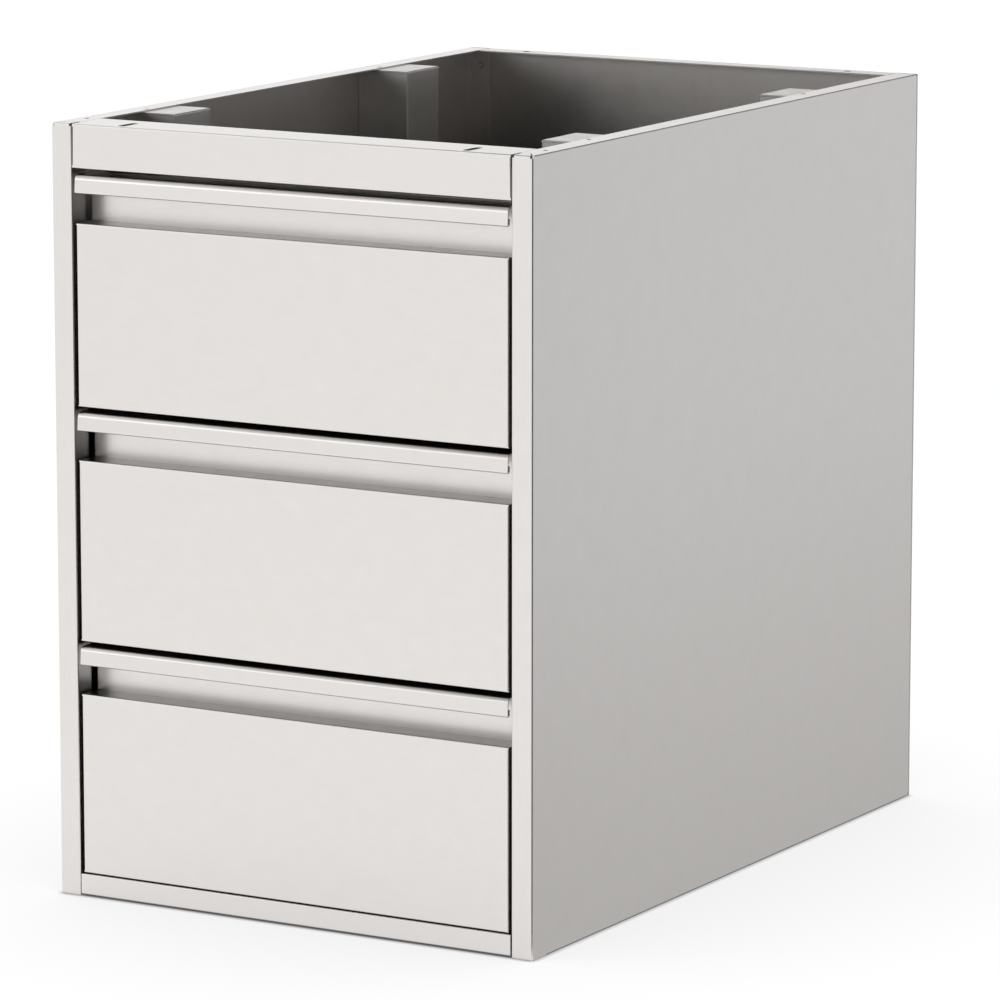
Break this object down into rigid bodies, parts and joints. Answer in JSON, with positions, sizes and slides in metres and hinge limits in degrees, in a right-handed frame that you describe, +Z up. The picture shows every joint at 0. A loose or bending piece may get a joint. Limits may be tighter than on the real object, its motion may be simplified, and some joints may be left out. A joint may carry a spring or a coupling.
{
  "type": "outdoor kitchen drawer unit",
  "caption": "Stainless-steel outdoor kitchen cabinet with an open top for a worktop and drawers with finger recesses on telescopic ball slides.",
  "frame": {"origin": "centre of the bottom of the box around the unit", "axes": "+X to the right seen from the front, the front towards -Y, +Z up"},
  "size_m": [0.46, 0.6917, 0.657],
  "materials": {
    "body_steel": "satin brushed",
    "front_steel": "satin brushed",
    "post_steel": "mill",
    "drawer_steel": "mill",
    "slide_steel": "zinc plated",
    "cage_steel": "plain",
    "screw_steel": "plain",
    "rivet_aluminium": "plain"
  },
  "bodies": {
    "cabinet": {"side_panel_right": "body_steel", "side_panel_left": "body_steel", "back_panel": "body_steel", "base_panel": "body_steel", "top_front_rail": "body_steel", "post_front_right": "post_steel", "post_front_left": "post_steel", "post_rear_right": "post_steel", "post_rear_left": "post_steel", "slide_outer_left_1": "slide_steel", "slide_outer_right_1": "slide_steel", "slide_outer_left_2": "slide_steel", "slide_outer_right_2": "slide_steel", "slide_outer_left_3": "slide_steel", "slide_outer_right_3": "slide_steel", "slide_screws": "screw_steel", "back_panel_rivets": "rivet_aluminium"},
    "drawer_1": {"drawer_front_1": "front_steel", "drawer_inner_front_1": "drawer_steel", "drawer_tray_1": "drawer_steel", "drawer_back_1": "drawer_steel", "front_screws_1": "screw_steel", "slide_rivets_1": "rivet_aluminium", "slide_inner_left_1": "slide_steel", "slide_inner_right_1": "slide_steel"},
    "bridge_runners_1": {"slide_middle_left_1": "slide_steel", "slide_middle_right_1": "slide_steel"},
    "outer_cages_1": {"cage_outer_left_1": "cage_steel", "cage_outer_right_1": "cage_steel"},
    "inner_cages_1": {"cage_inner_left_1": "cage_steel", "cage_inner_right_1": "cage_steel"},
    "drawer_2": {"drawer_front_2": "front_steel", "drawer_inner_front_2": "drawer_steel", "drawer_tray_2": "drawer_steel", "drawer_back_2": "drawer_steel", "front_screws_2": "screw_steel", "slide_rivets_2": "rivet_aluminium", "slide_inner_left_2": "slide_steel", "slide_inner_right_2": "slide_steel"},
    "bridge_runners_2": {"slide_middle_left_2": "slide_steel", "slide_middle_right_2": "slide_steel"},
    "outer_cages_2": {"cage_outer_left_2": "cage_steel", "cage_outer_right_2": "cage_steel"},
    "inner_cages_2": {"cage_inner_left_2": "cage_steel", "cage_inner_right_2": "cage_steel"},
    "drawer_3": {"drawer_front_3": "front_steel", "drawer_inner_front_3": "drawer_steel", "drawer_tray_3": "drawer_steel", "drawer_back_3": "drawer_steel", "front_screws_3": "screw_steel", "slide_rivets_3": "rivet_aluminium", "slide_inner_left_3": "slide_steel", "slide_inner_right_3": "slide_steel"},
    "bridge_runners_3": {"slide_middle_left_3": "slide_steel", "slide_middle_right_3": "slide_steel"},
    "outer_cages_3": {"cage_outer_left_3": "cage_steel", "cage_outer_right_3": "cage_steel"},
    "inner_cages_3": {"cage_inner_left_3": "cage_steel", "cage_inner_right_3": "cage_steel"}
  },
  "joints": [
    {"name": "drawer_slide_1", "type": "slide", "parent": "cabinet", "child": "drawer_1", "axis": [0, -1, 0], "range_m": [0, 0.5]},
    {"name": "bridge_slide_1", "type": "slide", "parent": "cabinet", "child": "bridge_runners_1", "axis": [0, -1, 0], "range_m": [0, 0.25]},
    {"name": "outer_cage_slide_1", "type": "slide", "parent": "cabinet", "child": "outer_cages_1", "axis": [0, -1, 0], "range_m": [0, 0.125]},
    {"name": "inner_cage_slide_1", "type": "slide", "parent": "cabinet", "child": "inner_cages_1", "axis": [0, -1, 0], "range_m": [0, 0.375]},
    {"name": "drawer_slide_2", "type": "slide", "parent": "cabinet", "child": "drawer_2", "axis": [0, -1, 0], "range_m": [0, 0.5]},
    {"name": "bridge_slide_2", "type": "slide", "parent": "cabinet", "child": "bridge_runners_2", "axis": [0, -1, 0], "range_m": [0, 0.25]},
    {"name": "outer_cage_slide_2", "type": "slide", "parent": "cabinet", "child": "outer_cages_2", "axis": [0, -1, 0], "range_m": [0, 0.125]},
    {"name": "inner_cage_slide_2", "type": "slide", "parent": "cabinet", "child": "inner_cages_2", "axis": [0, -1, 0], "range_m": [0, 0.375]},
    {"name": "drawer_slide_3", "type": "slide", "parent": "cabinet", "child": "drawer_3", "axis": [0, -1, 0], "range_m": [0, 0.5]},
    {"name": "bridge_slide_3", "type": "slide", "parent": "cabinet", "child": "bridge_runners_3", "axis": [0, -1, 0], "range_m": [0, 0.25]},
    {"name": "outer_cage_slide_3", "type": "slide", "parent": "cabinet", "child": "outer_cages_3", "axis": [0, -1, 0], "range_m": [0, 0.125]},
    {"name": "inner_cage_slide_3", "type": "slide", "parent": "cabinet", "child": "inner_cages_3", "axis": [0, -1, 0], "range_m": [0, 0.375]}
  ],
  "couplings": [
    {"joint": "bridge_slide_1", "follows": "drawer_slide_1", "ratio": 0.5},
    {"joint": "outer_cage_slide_1", "follows": "drawer_slide_1", "ratio": 0.25},
    {"joint": "inner_cage_slide_1", "follows": "drawer_slide_1", "ratio": 0.75},
    {"joint": "bridge_slide_2", "follows": "drawer_slide_2", "ratio": 0.5},
    {"joint": "outer_cage_slide_2", "follows": "drawer_slide_2", "ratio": 0.25},
    {"joint": "inner_cage_slide_2", "follows": "drawer_slide_2", "ratio": 0.75},
    {"joint": "bridge_slide_3", "follows": "drawer_slide_3", "ratio": 0.5},
    {"joint": "outer_cage_slide_3", "follows": "drawer_slide_3", "ratio": 0.25},
    {"joint": "inner_cage_slide_3", "follows": "drawer_slide_3", "ratio": 0.75}
  ]
}
